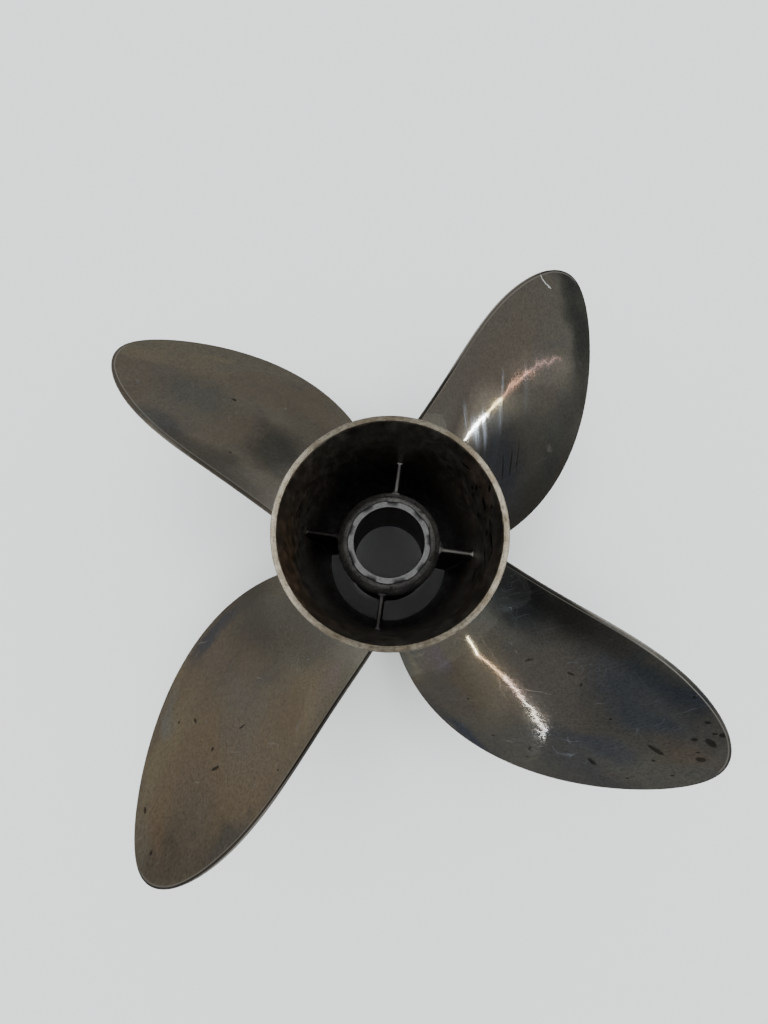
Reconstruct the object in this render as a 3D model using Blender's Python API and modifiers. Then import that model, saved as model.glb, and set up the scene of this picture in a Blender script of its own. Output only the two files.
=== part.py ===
"""Four-blade right-hand boat propeller with through-hub exhaust.

It stands on the front end of its hub. The origin is on the shaft axis at the
floor, +Z points aft along the shaft and all lengths are in metres.
"""
import math

import bmesh
import bpy
from mathutils import Matrix, Vector

MM = 0.001

# Outer hub barrel
HUB_LENGTH = 184.0 * MM
BARREL_RADIUS = 55.6 * MM
BARREL_INNER_RADIUS = 51.6 * MM
RIM_RADIUS = 57.5 * MM
RIM_INNER_RADIUS = 54.5 * MM
RIM_FLARE_LENGTH = 30.0 * MM
FRONT_INNER_RADIUS = 52.0 * MM
EDGE_BREAK = 0.6 * MM
BARREL_STEPS = 72

# Inner hub with the seat for a pressed-in bushing
INNER_HUB_FRONT_RADIUS = 34.8 * MM
INNER_HUB_AFT_RADIUS = 31.8 * MM
INNER_HUB_FRONT = 24.0 * MM
INNER_HUB_AFT = 131.7 * MM
BORE_LIP_RADIUS = 21.4 * MM
BORE_LIP_LENGTH = 12.0 * MM
SEAT_AFT_RADIUS = 27.4 * MM
SEAT_FRONT_RADIUS = 28.6 * MM
LAND_RADIUS = 25.1 * MM
LAND_HEIGHT = 0.6 * MM
SHOULDER_RADIUS = 6.0 * MM
INNER_STEPS = 60

# Webs that carry the inner hub inside the barrel
WEB_COUNT = 4
WEB_THICKNESS = 2.8 * MM
WEB_AFT = 128.0 * MM
WEB_FRONT_AT_BARREL = 5.0 * MM
WEB_AZIMUTH = 10.8

# Blades
BLADE_COUNT = 4
TIP_RADIUS = 193.7 * MM
ROOT_REFERENCE = 57.3 * MM
PITCH_ROOT = 580.6 * MM
PITCH_RISE = 84.0 * MM
CHORD_ROOT = 150.6 * MM
CHORD_SHAPE = (1.0, -0.379, 1.344, -1.146)
RAKE_LINE = (-97.2 * MM, 96.5 * MM, -46.9 * MM, 12.7 * MM)
SKEW_LINE = (50.5, 19.5, -56.3, 25.6)
RAKE_AZIMUTH = 46.0
THICKNESS_TIP = 2.6 * MM
THICKNESS_GAIN = 6.2 * MM
TRAILING_THICKNESS = 2.4 * MM
LEADING_THICKNESS = 0.9 * MM
CUP_DEPTH = 2.0 * MM
CUP_WIDTH = 13.0 * MM
ROOT_FILLET = 6.0 * MM
CHORD_STEPS = 18
SPAN_STEPS = 13
ROOT_ROWS = 3
LAST_STATION = 0.9985

# Clearance left between castings that meet
GAP = 0.3 * MM


def clear_scene():
    for item in list(bpy.data.objects):
        bpy.data.objects.remove(item, do_unlink=True)


def metal(name, colour, roughness):
    material = bpy.data.materials.new(name)
    material.use_nodes = True
    shader = material.node_tree.nodes["Principled BSDF"]
    shader.inputs["Base Color"].default_value = (*colour, 1.0)
    shader.inputs["Metallic"].default_value = 1.0
    shader.inputs["Roughness"].default_value = roughness
    return material


def add_object(collection, name, mesh, material):
    item = bpy.data.objects.new(name, mesh)
    collection.objects.link(item)
    item.data.materials.clear()
    item.data.materials.append(material)
    return item


def settle(item, sharp_degrees):
    """Apply the modifiers and keep edges sharper than the angle crisp."""
    graph = bpy.context.evaluated_depsgraph_get()
    graph.update()
    mesh = bpy.data.meshes.new_from_object(item.evaluated_get(graph))
    item.modifiers.clear()
    item.data = mesh
    mesh.name = item.name
    mesh.shade_smooth()
    mesh.set_sharp_from_angle(angle=math.radians(sharp_degrees))


def turned(collection, name, profile, steps, material):
    """Spin a closed (radius, height) profile about the shaft axis."""
    mesh = bpy.data.meshes.new(name)
    count = len(profile)
    points = [(radius, 0.0, height) for radius, height in profile]
    edges = [(i, (i + 1) % count) for i in range(count)]
    mesh.from_pydata(points, edges, [])
    item = add_object(collection, name, mesh, material)
    screw = item.modifiers.new("turn", "SCREW")
    screw.axis = "Z"
    screw.angle = math.tau
    screw.steps = steps
    screw.render_steps = steps
    screw.use_merge_vertices = True
    screw.merge_threshold = 0.00001
    screw.use_normal_calculate = True
    settle(item, 30.0)
    return item


def arc(centre, radius, start, end, steps):
    """Points on an arc in the (radius, height) plane, angles in degrees."""
    points = []
    for i in range(steps + 1):
        angle = math.radians(start + (end - start) * i / steps)
        points.append((centre[0] + radius * math.cos(angle),
                       centre[1] + radius * math.sin(angle)))
    return points


def barrel_profile():
    flare_start = HUB_LENGTH - RIM_FLARE_LENGTH
    outer = []
    inner = []
    for share in (1.0, 0.75, 0.5, 0.25, 0.0):
        swell = share * share
        height = flare_start + RIM_FLARE_LENGTH * share
        if share == 1.0:
            height -= EDGE_BREAK
        outer.append((BARREL_RADIUS + (RIM_RADIUS - BARREL_RADIUS) * swell, height))
        inner.append((BARREL_INNER_RADIUS
                      + (RIM_INNER_RADIUS - BARREL_INNER_RADIUS) * swell, height))
    top = [(RIM_INNER_RADIUS + EDGE_BREAK, HUB_LENGTH), (RIM_RADIUS - EDGE_BREAK, HUB_LENGTH)]
    bottom = [(BARREL_RADIUS, EDGE_BREAK),
              (BARREL_RADIUS - EDGE_BREAK, 0.0),
              (FRONT_INNER_RADIUS + EDGE_BREAK, 0.0),
              (FRONT_INNER_RADIUS, EDGE_BREAK),
              (BARREL_INNER_RADIUS, INNER_HUB_FRONT)]
    return top + outer + bottom + inner[::-1]


def inner_hub_profile():
    shoulder_top = INNER_HUB_AFT - LAND_HEIGHT
    shoulder = arc((INNER_HUB_AFT_RADIUS - SHOULDER_RADIUS, shoulder_top - SHOULDER_RADIUS),
                   SHOULDER_RADIUS, 90.0, 0.0, 6)
    lip_front = INNER_HUB_AFT - BORE_LIP_LENGTH
    return ([(BORE_LIP_RADIUS + EDGE_BREAK, INNER_HUB_AFT),
             (LAND_RADIUS, INNER_HUB_AFT),
             (LAND_RADIUS + LAND_HEIGHT, shoulder_top)]
            + shoulder
            + [(INNER_HUB_FRONT_RADIUS, INNER_HUB_FRONT + EDGE_BREAK),
               (INNER_HUB_FRONT_RADIUS - EDGE_BREAK, INNER_HUB_FRONT),
               (SEAT_FRONT_RADIUS + EDGE_BREAK, INNER_HUB_FRONT),
               (SEAT_FRONT_RADIUS, INNER_HUB_FRONT + EDGE_BREAK),
               (SEAT_AFT_RADIUS, lip_front - (SEAT_AFT_RADIUS - BORE_LIP_RADIUS)),
               (BORE_LIP_RADIUS, lip_front),
               (BORE_LIP_RADIUS, INNER_HUB_AFT - EDGE_BREAK)])


def add_web(collection, name, azimuth, material):
    """A flat plate from the inner hub to the barrel, running fore and aft."""
    outer = BARREL_INNER_RADIUS - GAP
    outline = [(INNER_HUB_FRONT_RADIUS + GAP, INNER_HUB_FRONT + EDGE_BREAK),
               (outer, WEB_FRONT_AT_BARREL),
               (outer, WEB_AFT),
               (INNER_HUB_AFT_RADIUS + GAP, WEB_AFT)]
    mesh = bpy.data.meshes.new(name)
    points = [(WEB_THICKNESS / 2, radius, height) for radius, height in outline]
    mesh.from_pydata(points, [], [(0, 1, 2, 3)])
    item = add_object(collection, name, mesh, material)
    plate = item.modifiers.new("plate", "SOLIDIFY")
    plate.thickness = WEB_THICKNESS
    plate.offset = -1.0
    settle(item, 30.0)
    item.data.transform(Matrix.Rotation(-math.radians(azimuth), 4, "Z"))
    return item


def blend(coefficients, share):
    return sum(value * share ** power for power, value in enumerate(coefficients))


def smooth(value):
    value = min(max(value, 0.0), 1.0)
    return value * value * (3.0 - 2.0 * value)


def round_off(share):
    """A quarter circle rising from 0 to 1."""
    reach = 1.0 - min(share, 1.0)
    return math.sqrt(1.0 - reach * reach)


def section(radius, flare):
    """Face and back of the blade at one radius, from trailing to leading edge."""
    share = (radius - ROOT_REFERENCE) / (TIP_RADIUS - ROOT_REFERENCE)
    pitch = PITCH_ROOT + PITCH_RISE * share ** 3
    chord = CHORD_ROOT * math.sqrt(1.0 - share * share) * blend(CHORD_SHAPE, share)
    azimuth = math.radians(blend(SKEW_LINE, share))
    height = HUB_LENGTH + blend(RAKE_LINE, share)
    height -= pitch * (azimuth - math.radians(RAKE_AZIMUTH)) / math.tau
    slope = math.atan2(pitch, math.tau * radius)
    thickest = THICKNESS_TIP + THICKNESS_GAIN * (1.0 - share)
    cup = CUP_DEPTH * min(1.0, chord / (3.0 * CUP_WIDTH))
    length = chord + 2.0 * flare
    face = []
    back = []
    for i in range(CHORD_STEPS + 1):
        along = 0.5 - 0.5 * math.cos(math.pi * i / CHORD_STEPS)
        run = (along - 0.5) * length
        from_end = (0.5 - abs(along - 0.5)) * length
        swell = flare * round_off(from_end / ROOT_FILLET)
        face_rise = -cup * smooth(along * chord / CUP_WIDTH) * (1.0 - along)
        edge = TRAILING_THICKNESS + (LEADING_THICKNESS - TRAILING_THICKNESS) * along
        body = (thickest - edge) * (4.0 * along * (1.0 - along)) ** 0.8
        for side, rise in ((face, face_rise + swell),
                           (back, face_rise - edge - body - swell)):
            around = run * math.cos(slope) + rise * math.sin(slope)
            axial = rise * math.cos(slope) - run * math.sin(slope)
            turn = azimuth + around / radius
            side.append((turn, radius, height + axial))
    return face, back


def place(point):
    turn, radius, height = point
    return Vector((radius * math.sin(turn), radius * math.cos(turn), height))


def between(first, second, share):
    return tuple(a + (b - a) * share for a, b in zip(first, second))


def station_radii():
    root = BARREL_RADIUS + GAP
    stations = []
    for lift in (0.0, 0.15, 0.45, 1.0):
        reach = 1.0 - lift
        flare = ROOT_FILLET * (1.0 - math.sqrt(1.0 - reach * reach))
        stations.append((root + ROOT_FILLET * lift, flare))
    first = (stations[-1][0] - ROOT_REFERENCE) / (TIP_RADIUS - ROOT_REFERENCE)
    start = math.asin(first)
    end = math.asin(LAST_STATION)
    for i in range(1, SPAN_STEPS + 1):
        share = math.sin(start + (end - start) * i / SPAN_STEPS)
        stations.append((ROOT_REFERENCE + (TIP_RADIUS - ROOT_REFERENCE) * share, 0.0))
    return stations


def close_end(shell, rows, outward):
    """Fill the end of a blade with rows of quads across its thickness."""
    for upper, lower in zip(rows[:-1], rows[1:]):
        for i in range(len(upper) - 1):
            quad = (upper[i], upper[i + 1], lower[i + 1], lower[i])
            shell.faces.new(quad if outward else quad[::-1])


def add_blade(collection, name, azimuth, material):
    shell = bmesh.new()
    loops = []
    root_rows = []
    for number, (radius, flare) in enumerate(station_radii()):
        face, back = section(radius, flare)
        face_points = [shell.verts.new(place(point)) for point in face]
        back_points = [shell.verts.new(place(point)) for point in back]
        middle = []
        if number == 0:
            for row in range(1, ROOT_ROWS):
                share = row / ROOT_ROWS
                middle.append([shell.verts.new(place(between(a, b, share)))
                               for a, b in zip(face, back)])
            root_rows = [face_points] + middle + [back_points]
        loops.append((face_points, back_points))
    for number, (inner, outer) in enumerate(zip(loops[:-1], loops[1:])):
        for i in range(CHORD_STEPS):
            shell.faces.new((inner[0][i], inner[0][i + 1], outer[0][i + 1], outer[0][i]))
            shell.faces.new((inner[1][i + 1], inner[1][i], outer[1][i], outer[1][i + 1]))
        for i, order in ((0, 1), (CHORD_STEPS, -1)):
            if number == 0:
                edge = [row[i] for row in root_rows]
            else:
                edge = [inner[0][i], inner[1][i]]
            ring = [outer[0][i]] + edge + [outer[1][i]]
            shell.faces.new(ring[::order])
    close_end(shell, root_rows, True)
    close_end(shell, list(loops[-1]), False)
    bmesh.ops.recalc_face_normals(shell, faces=shell.faces)
    bmesh.ops.triangulate(shell, faces=[f for f in shell.faces if len(f.verts) > 4])
    mesh = bpy.data.meshes.new(name)
    shell.to_mesh(mesh)
    shell.free()
    mesh.transform(Matrix.Rotation(-math.radians(azimuth), 4, "Z"))
    item = add_object(collection, name, mesh, material)
    settle(item, 40.0)
    return item


def build():
    clear_scene()
    collection = bpy.data.collections.new("ship_propeller")
    bpy.context.scene.collection.children.link(collection)
    turned(collection, "outer_hub", barrel_profile(), BARREL_STEPS,
           metal("outer_hub_metal", (0.21, 0.18, 0.155), 0.38))
    turned(collection, "inner_hub", inner_hub_profile(), INNER_STEPS,
           metal("inner_hub_metal", (0.24, 0.22, 0.20), 0.5))
    for k in range(WEB_COUNT):
        name = "web_%d" % (k + 1)
        add_web(collection, name, WEB_AZIMUTH + 360.0 * k / WEB_COUNT,
                metal(name + "_metal", (0.19, 0.17, 0.15), 0.5))
    for k in range(BLADE_COUNT):
        name = "blade_%d" % (k + 1)
        add_blade(collection, name, 360.0 * k / BLADE_COUNT,
                  metal(name + "_metal", (0.20, 0.175, 0.155), 0.3))


build()
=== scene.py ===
import math

import bpy
import numpy as np
from mathutils import Matrix, Vector


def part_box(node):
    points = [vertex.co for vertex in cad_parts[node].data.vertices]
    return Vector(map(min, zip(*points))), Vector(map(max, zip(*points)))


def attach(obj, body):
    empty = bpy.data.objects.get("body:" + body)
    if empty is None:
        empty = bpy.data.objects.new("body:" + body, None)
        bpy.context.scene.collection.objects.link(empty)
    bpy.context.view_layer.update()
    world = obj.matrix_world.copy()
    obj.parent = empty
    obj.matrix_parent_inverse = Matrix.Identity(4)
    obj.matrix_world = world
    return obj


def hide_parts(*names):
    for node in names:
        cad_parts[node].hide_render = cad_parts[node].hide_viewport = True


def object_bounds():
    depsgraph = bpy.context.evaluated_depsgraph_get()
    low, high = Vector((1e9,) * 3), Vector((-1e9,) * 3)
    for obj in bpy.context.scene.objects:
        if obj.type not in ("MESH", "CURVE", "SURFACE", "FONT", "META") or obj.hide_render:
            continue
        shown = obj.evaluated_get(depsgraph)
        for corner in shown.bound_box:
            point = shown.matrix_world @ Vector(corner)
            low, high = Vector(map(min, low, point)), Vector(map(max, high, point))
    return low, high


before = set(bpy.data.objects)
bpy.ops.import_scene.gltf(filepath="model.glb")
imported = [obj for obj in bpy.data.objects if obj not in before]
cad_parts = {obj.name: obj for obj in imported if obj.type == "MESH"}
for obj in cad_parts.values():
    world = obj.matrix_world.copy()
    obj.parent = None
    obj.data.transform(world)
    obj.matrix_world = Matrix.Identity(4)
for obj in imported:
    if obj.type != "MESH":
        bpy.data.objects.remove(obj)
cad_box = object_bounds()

MM = 0.001
TAU = 2.0 * math.pi

# Barrel, in metres from the floor up
HUB_LENGTH = cad_box[1].z - cad_box[0].z
BARREL_RADIUS = 55.6 * MM
BARREL_INNER_RADIUS = 51.6 * MM
RIM_RADIUS = 57.5 * MM
RIM_INNER_RADIUS = 54.5 * MM
RIM_FLARE_LENGTH = 30.0 * MM
FRONT_INNER_RADIUS = 52.0 * MM
EDGE_ROUND = 0.5 * MM
BARREL_STEPS = 360

# Inner hub
INNER_HUB_FRONT_RADIUS = 34.8 * MM
INNER_HUB_AFT_RADIUS = 31.8 * MM
INNER_HUB_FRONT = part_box("inner_hub")[0].z
INNER_HUB_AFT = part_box("inner_hub")[1].z
BORE_LIP_RADIUS = 21.4 * MM
BORE_LIP_LENGTH = 12.0 * MM
SEAT_AFT_RADIUS = 27.4 * MM
SEAT_FRONT_RADIUS = 28.6 * MM
LAND_RADIUS = 25.1 * MM
LAND_HEIGHT = 0.6 * MM
LAND_WAVE = 0.2 * MM
LAND_DIP = 0.35 * MM
LAND_LOBES = 9
LAND_TURN = 10.0
SHOULDER_RADIUS = 6.0 * MM
INNER_STEPS = 264

# Webs
WEB_COUNT = 4
WEB_THICKNESS = 2.8 * MM
WEB_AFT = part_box("web_1")[1].z
WEB_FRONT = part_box("web_1")[0].z
WEB_AZIMUTH = 10.8
WEB_FILLET = 1.6 * MM
# Painted highlight along each web's aft edge, and painted shade over each web
WEB_EDGE_HIGHLIGHT = {1: 0.8, 2: 0.75, 3: 0.0, 4: 0.0}
WEB_SHADE_SHARE = {1: 0.0, 2: 0.0, 3: 0.35, 4: 0.75}

# Blades
BLADE_COUNT = 4
TIP_RADIUS = 193.6 * MM
ROOT_REFERENCE = 57.3 * MM
PITCH_ROOT = 580.6 * MM
PITCH_RISE = 84.0 * MM
CHORD_ROOT = 150.6 * MM
CHORD_SHAPE = (1.0, -0.379, 1.344, -1.146)
RAKE_LINE = (-97.2 * MM, 96.5 * MM, -46.9 * MM, 12.7 * MM)
SKEW_LINE = (50.5, 19.5, -56.3, 25.6)
RAKE_AZIMUTH = 46.0
THICKNESS_TIP = 2.6 * MM
THICKNESS_GAIN = 6.2 * MM
TRAILING_THICKNESS = 1.8 * MM
LEADING_THICKNESS = 0.9 * MM
EDGE_DROP = 0.6 * MM
CUP_DEPTH = 2.0 * MM
CUP_WIDTH = 20.0 * MM
CUP_ROOT_WIDTH = 45.0 * MM
CUP_REACH = 60.0 * MM
FULL_CUP_CHORD = 39.0 * MM
BEVEL_WIDTH = {1: 1.7 * MM, 2: 1.7 * MM, 3: 1.5 * MM, 4: 2.3 * MM}
BEVEL_SLOPE = 0.4
FULL_BEVEL_CHORD = 90.0 * MM
ROOT_FILLET = 6.0 * MM
BLADE_EDGE_ROUND = 0.45 * MM
SPAN_STEPS = 120
CHORD_STEPS = 110
EDGE_ROWS = 3

# Camera: a very wide lens close above the propeller
LENS = 14.45
CAMERA_PLACE = (-3.03 * MM, -34.03 * MM, 378.0 * MM)
CAMERA_TILT = 12.05
CAMERA_YAW = 0.20
CAMERA_ROLL = -2.96

# Light: brightness of the sky by direction
SIDE_LIGHT = 1.3
RING_LIGHT = 6.0
RING_MIDDLE_SHARE = 0.3
TOP_LIGHT = 1.0
NEAR_SIDE_SHARE = 0.5
SKY_RING_START = (0.79, 0.88)
SKY_RING_END = (0.935, 0.975)
NEAR_SIDE = (-0.85, -0.50)

# Two bent tube lights that the right-hand blades mirror as thin bright streaks.
# Each stretch: its ends in millimetres, width, brightness and colour.
RIGHT_TUBE = (((476, -422, 187), (482, -374, 335), 6, 250.0, (0.94, 0.98, 1.0)),
              ((482, -374, 335), (486, -332, 408), 3.5, 130.0, (1.0, 0.86, 0.50)),
              ((486, -332, 408), (500, -245, 507), 2.2, 42.0, (1.0, 0.58, 0.46)),
              ((500, -245, 507), (505, -195, 557), 2, 15.0, (0.96, 0.60, 0.70)))
LEFT_TUBE = (((-566, -257, 25), (-568, -256, 127), 4, 190.0, (1.0, 0.95, 0.76)),
             ((-568, -256, 127), (-526, -301, 261), 2.6, 90.0, (1.0, 0.74, 0.54)),
             ((-526, -301, 261), (-479, -330, 360), 2.2, 115.0, (1.0, 0.80, 0.80)),
             ((-479, -330, 360), (-414, -364, 454), 1.1, 240.0, (0.98, 0.98, 1.0)))

# Dim glow with soft edges round part of each tube, in the same form
RIGHT_GLOW = (((483, -502, 128), (492, -263, 473), 220, 1.45, (1.0, 0.98, 0.94)),
              ((491, -285, 440), (494, -183, 588), 120, 0.5, (1.0, 0.93, 0.92)))
LEFT_GLOW = (((-590, -220, 28), (-473, -309, 390), 190, 0.6, (1.0, 1.0, 0.97)),)

# Colours of the tarnish and dirt on the steel, and of the painted shade, painted reflection and painted
# highlights laid over it, as linear red, green and blue
BROWN = (0.074, 0.062, 0.048)
OLIVE = (0.076, 0.069, 0.054)
OCHRE = (0.100, 0.084, 0.056)
TAWNY = (0.092, 0.071, 0.045)
RUST = (0.086, 0.060, 0.038)
ROSE = (0.075, 0.057, 0.054)
UMBER = (0.040, 0.036, 0.029)
SLATE = (0.036, 0.038, 0.041)
BLUE = (0.034, 0.036, 0.044)
GREEN_GREY = (0.050, 0.051, 0.045)
PALE_GREY = (0.086, 0.088, 0.084)
SHADE = (0.022, 0.022, 0.019)
SOOT_AND_SHADE = (0.007, 0.006, 0.005)
RUBBED_AND_SHEEN = (0.160, 0.180, 0.205)
WORN_AND_HIGHLIGHT = (0.150, 0.142, 0.125)
GLINT = (0.55, 0.56, 0.54)

# Overall tone and roughness of each blade's face. The tone is partly tarnish and partly painted
# reflection: blade 2 is darker and bluer where its face mirrors darker surroundings.
BLADE_TONE = {1: (1.01, 1.05, 1.09), 2: (0.76, 0.82, 0.89), 3: (1.08, 1.06, 1.02),
              4: (1.03, 1.03, 1.02)}
BLADE_ROUGHNESS = {1: 0.045, 2: 0.05, 3: 0.15, 4: 0.15}

# Marks on each blade, measured from the photo. Each is a straight stroke in
# millimetres: (radius, run along the chord) at either end, then its width.
# The tone, and how strongly it shows, follow in the patches.
# Many of the darkest patches are painted shade and painted reflection, not tarnish: those in the SHADE
# tone, the black ones by blade 2's root, the dark umber ones at blade 3's root and the blue ones on
# blades 1 and 2. They darken the faces where these mirror dark surroundings.
PATCHES = {
    1: (((188.3, 5.3), (163.5, 42.1), 20.0, SHADE, 0.75),
        ((190.0, -14.0), (181.0, 10.0), 15.0, SHADE, 0.5),
        ((187.0, -23.0), (191.5, -10.0), 11.0, SHADE, 0.6),
        ((152.0, 33.0), (157.0, 44.0), 12.0, SHADE, 0.4),
        ((98.0, 62.0), (118.0, 60.0), 20.0, SHADE, 0.5),
        ((133.0, -38.0), (152.0, -30.0), 24.0, OCHRE, 0.55),
        ((135.0, 57.0), (108.0, 52.0), 23.0, UMBER, 0.7),
        ((101.4, -10.3), (98.0, 41.3), 31.0, BLUE, 0.7),
        ((181.0, 4.0), (172.7, 29.7), 13.0, SHADE, 0.55),
        ((188.5, -14.2), (191.7, 3.3), 12.0, SHADE, 0.7),
        ((152.6, -31.4), (116.9, -45.5), 37.5, BROWN, 0.9),
        ((145.8, 31.3), (130.2, 50.5), 28.2, GREEN_GREY, 0.6)),
    2: (((70.9, -62.0), (77.1, -61.3), 14.0, SOOT_AND_SHADE, 0.7),
        ((76.0, -52.0), (112.0, -62.0), 34.0, SOOT_AND_SHADE, 0.7),
        ((80.5, -49.7), (92.1, -42.7), 22.0, SLATE, 0.7),
        ((70.0, -60.0), (86.0, -48.0), 36.0, SHADE, 0.8),
        ((102.0, -58.0), (140.0, -52.0), 20.0, SHADE, 0.4),
        ((162.0, -41.0), (171.0, -30.0), 14.0, SHADE, 0.5),
        ((66.0, -64.0), (84.0, -58.0), 22.0, SOOT_AND_SHADE, 0.6),
        ((86.0, 34.0), (110.0, 56.0), 34.0, RUST, 0.6),
        ((90.0, 2.0), (112.0, 28.0), 36.0, TAWNY, 0.75),
        ((142.0, -24.0), (158.0, -6.0), 26.0, SHADE, 0.35),
        ((138.0, -34.0), (176.0, -14.0), 30.0, SLATE, 0.3),
        ((148.0, 24.0), (172.0, 34.0), 20.0, SLATE, 0.45),
        ((104.0, 64.0), (134.0, 58.0), 14.0, SLATE, 0.45),
        ((107.0, -39.3), (127.0, 0.4), 22.0, BROWN, 0.8),
        ((134.7, -37.7), (156.4, -29.2), 26.0, SLATE, 0.6),
        ((142.3, -50.8), (152.6, -41.8), 13.1, SLATE, 0.7),
        ((156.1, -16.8), (168.0, -9.5), 14.3, SLATE, 0.7),
        ((146.9, 13.9), (153.3, 13.0), 13.4, BLUE, 0.5),
        ((157.3, 7.8), (164.2, 10.1), 12.8, BLUE, 0.5),
        ((160.4, -39.3), (168.3, -33.1), 10.8, BLUE, 0.6),
        ((87.7, 48.5), (112.6, 48.4), 24.0, BROWN, 1.0),
        ((80.4, 36.1), (85.7, 34.6), 14.4, ROSE, 0.8),
        ((77.7, 60.3), (94.6, 66.0), 9.1, OCHRE, 0.7),
        ((121.7, 61.4), (141.0, 59.3), 7.8, BLUE, 0.7),
        ((170.1, -5.3), (183.0, -2.7), 12.9, RUST, 0.5)),
    3: (((97.7, 44.0), (73.7, -24.2), 44.0, UMBER, 0.85),
        ((60.0, 2.0), (84.0, 26.0), 44.0, UMBER, 0.85),
        ((64.0, -4.0), (88.0, -64.0), 34.0, UMBER, 0.7),
        ((80.0, 64.0), (122.0, 60.0), 22.0, SHADE, 0.45),
        ((163.0, 12.0), (163.0, -25.0), 50.0, TAWNY, 0.75),
        ((162.0, -36.0), (188.0, -6.0), 28.0, UMBER, 0.6),
        ((100.0, -46.0), (146.0, -42.0), 38.0, TAWNY, 0.65),
        ((150.0, 30.0), (176.0, 20.0), 18.0, OCHRE, 0.6),
        ((190.0, -2.0), (183.0, -14.0), 14.0, UMBER, 0.5),
        ((155.0, -48.0), (172.0, -30.0), 10.0, UMBER, 0.5),
        ((121.6, 55.4), (141.7, 50.3), 12.0, BLUE, 0.7),
        ((151.8, 51.7), (155.3, 44.1), 8.6, OCHRE, 0.6),
        ((158.7, 39.1), (164.8, 29.1), 9.1, PALE_GREY, 0.55),
        ((174.0, 28.5), (178.4, 21.1), 8.4, OCHRE, 0.6),
        ((181.3, 9.1), (185.4, -8.1), 10.0, RUST, 0.5),
        ((128.0, -3.5), (127.5, -39.0), 26.0, PALE_GREY, 0.2),
        ((161.5, -4.5), (161.6, -22.7), 22.0, BROWN, 0.6),
        ((90.0, -57.0), (75.0, -56.2), 9.0, ROSE, 0.5),
        ((107.5, 57.2), (92.6, 24.5), 24.4, GREEN_GREY, 0.35),
        ((165.7, -38.8), (150.4, -49.8), 7.4, SLATE, 0.4)),
    4: (((168.4, 24.8), (163.5, 31.2), 7.5, OCHRE, 0.6),
        ((189.5, -2.6), (182.5, -1.3), 10.8, OCHRE, 0.5),
        ((156.2, -44.0), (134.3, -54.9), 10.0, SLATE, 0.6),
        ((112.0, -20.0), (88.0, -28.0), 38.0, UMBER, 0.8),
        ((104.0, -12.0), (94.0, -26.0), 24.0, SHADE, 0.55),
        ((100.0, 0.0), (92.0, -14.0), 20.0, SHADE, 0.45),
        ((76.0, -66.0), (132.0, -60.0), 20.0, SHADE, 0.6),
        ((100.0, 20.0), (118.0, 40.0), 36.0, UMBER, 0.35),
        ((166.0, 14.0), (182.0, 12.0), 22.0, OCHRE, 0.3),
        ((132.0, -55.0), (92.0, -62.0), 14.0, UMBER, 0.7),
        ((122.4, -44.2), (126.6, -18.5), 21.4, BROWN, 0.8),
        ((126.8, 35.3), (109.1, 48.1), 18.0, BROWN, 0.8),
        ((154.8, -15.3), (144.6, -19.2), 25.0, GREEN_GREY, 0.6),
        ((90.0, -55.0), (78.1, -50.7), 12.0, UMBER, 0.45)),
}
DARK_MARKS = {
    1: (((104.2, 6.7), (98.3, 21.9), 1.0),
        ((111.5, 8.3), (103.4, 23.9), 1.2),
        ((117.5, 9.0), (109.4, 23.4), 1.0)),
    2: (((107.5, -18.2), (108.6, -21.9), 1.3),
        ((124.8, -26.2), (126.4, -26.5), 1.4),
        ((132.7, -21.8), (132.2, -23.5), 0.8),
        ((151.8, -9.3), (151.9, -9.4), 1.3),
        ((133.6, 45.1), (133.6, 44.9), 1.3),
        ((146.1, 37.6), (144.5, 34.4), 1.3),
        ((148.6, 43.0), (148.7, 42.8), 1.2),
        ((161.5, 21.9), (163.8, 23.5), 1.8),
        ((170.3, -1.7), (175.1, 0.4), 2.1),
        ((175.5, 6.3), (175.6, 6.2), 1.2),
        ((184.1, 10.9), (184.2, 10.8), 1.1),
        ((175.6, 23.4), (175.7, 23.3), 1.1),
        ((178.7, -13.9), (178.8, -13.9), 2.1),
        ((185.7, -3.7), (185.8, -3.8), 2.8),
        ((183.2, -7.2), (183.3, -7.3), 1.2),
        ((182.4, -16.1), (184.6, -14.0), 2.6),
        ((183.7, -22.0), (184.1, -21.2), 2.0),
        ((181.8, -20.8), (181.9, -20.9), 1.4),
        ((177.1, -26.1), (177.2, -26.2), 1.6),
        ((166.9, -38.4), (166.9, -38.4), 1.4),
        ((111.0, 35.8), (111.0, 35.6), 1.2)),
    3: (((131.7, -19.0), (129.3, -20.7), 1.0),
        ((149.6, 15.9), (149.4, 13.2), 1.1),
        ((147.0, -8.7), (146.9, -9.0), 1.4),
        ((151.0, -15.7), (148.4, -18.7), 1.2),
        ((128.7, -56.5), (128.6, -56.7), 0.9),
        ((187.3, -1.1), (187.2, -1.3), 1.2),
        ((183.1, 15.4), (183.2, 14.4), 1.5),
        ((157.2, 25.6), (157.1, 25.3), 1.0)),
    4: (((138.8, -4.1), (138.8, -4.0), 2.2),
        ((109.8, 29.5), (109.8, 29.7), 0.9),
        ((111.9, -46.6), (111.2, -46.3), 0.9)),
}
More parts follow.
